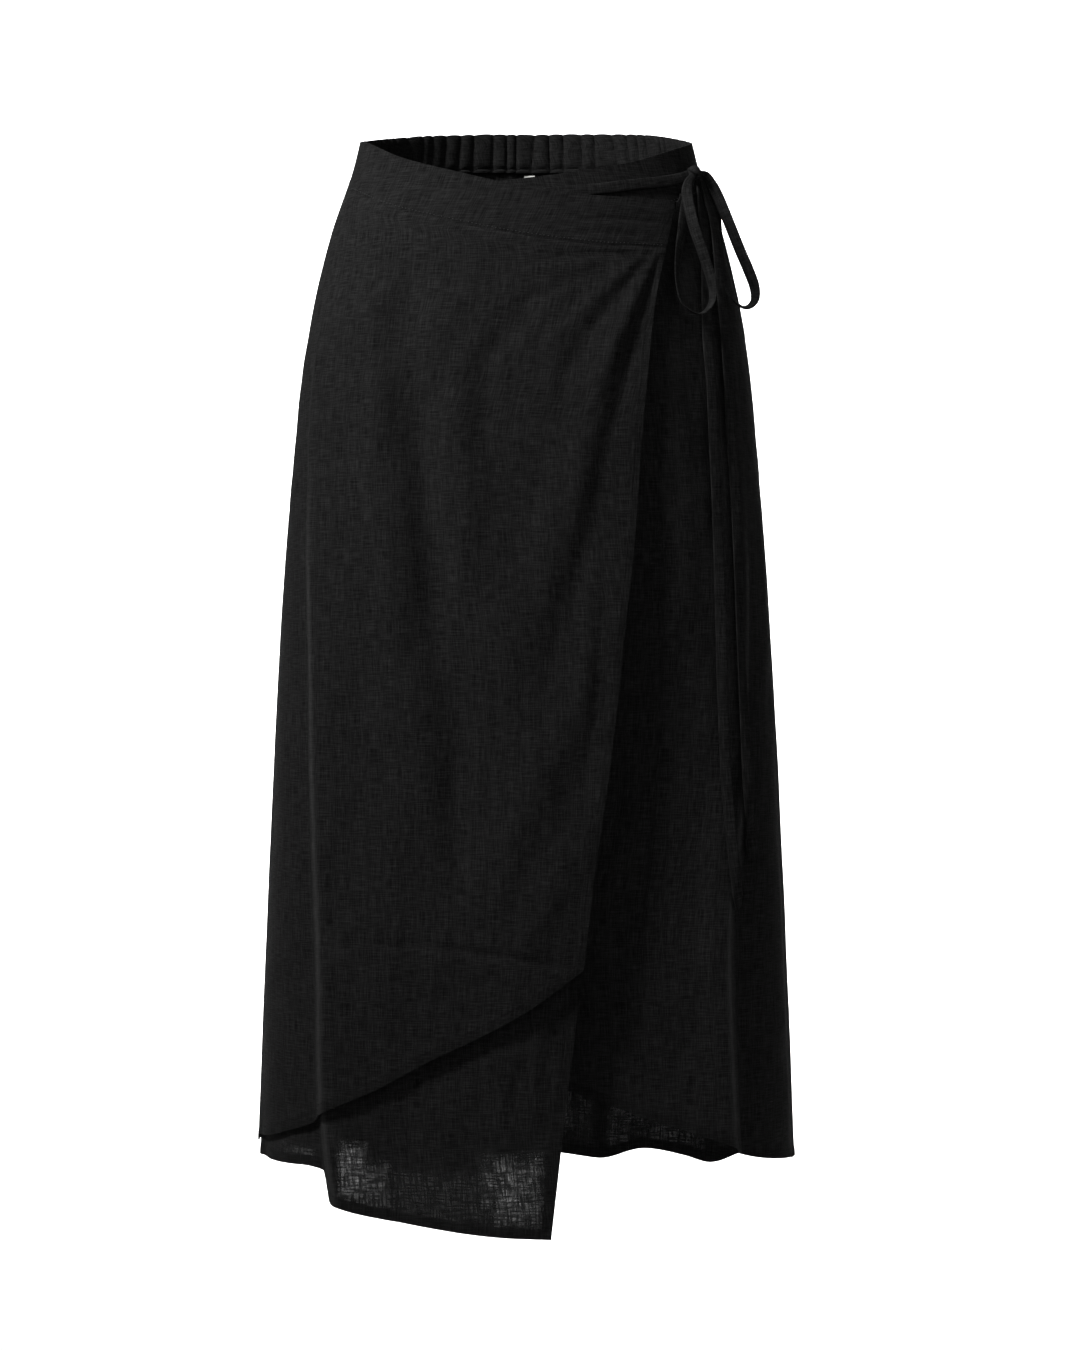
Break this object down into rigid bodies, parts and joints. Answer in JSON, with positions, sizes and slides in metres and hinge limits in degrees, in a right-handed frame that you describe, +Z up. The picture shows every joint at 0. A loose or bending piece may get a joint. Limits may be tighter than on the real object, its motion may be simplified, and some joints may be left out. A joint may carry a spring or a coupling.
{
  "type": "wrap skirt",
  "caption": "Midi wrap skirt in dark linen, filled out as if worn, with a gathered elastic back waist, a doubled wrap front cut on the slant and a side bow.",
  "frame": {"origin": "middle of the waist opening, halfway down the waistband at the side seams", "axes": "+Z up the wearer's body; the front of the skirt faces -Y; the wearer's left side, with the bow, is at +X"},
  "size_m": [0.4624, 0.3205, 0.9445],
  "materials": {
    "linen": "matt plain-weave linen, near black",
    "label_cloth": "matt white tape, bare"
  },
  "bodies": {
    "root": {"outer_waistband": "linen", "inner_waistband": "linen", "back_waistband": "linen", "outer_front_top_layer": "linen", "outer_front_long_layer": "linen", "inner_front_panel": "linen", "back_panel": "linen", "waist_strap": "linen", "corner_strap": "linen", "bow_knot": "linen", "bow_loop_front": "linen", "bow_loop_side": "linen", "tie_end_long": "linen", "tie_end_short": "linen", "label": "label_cloth"}
  },
  "joints": []
}
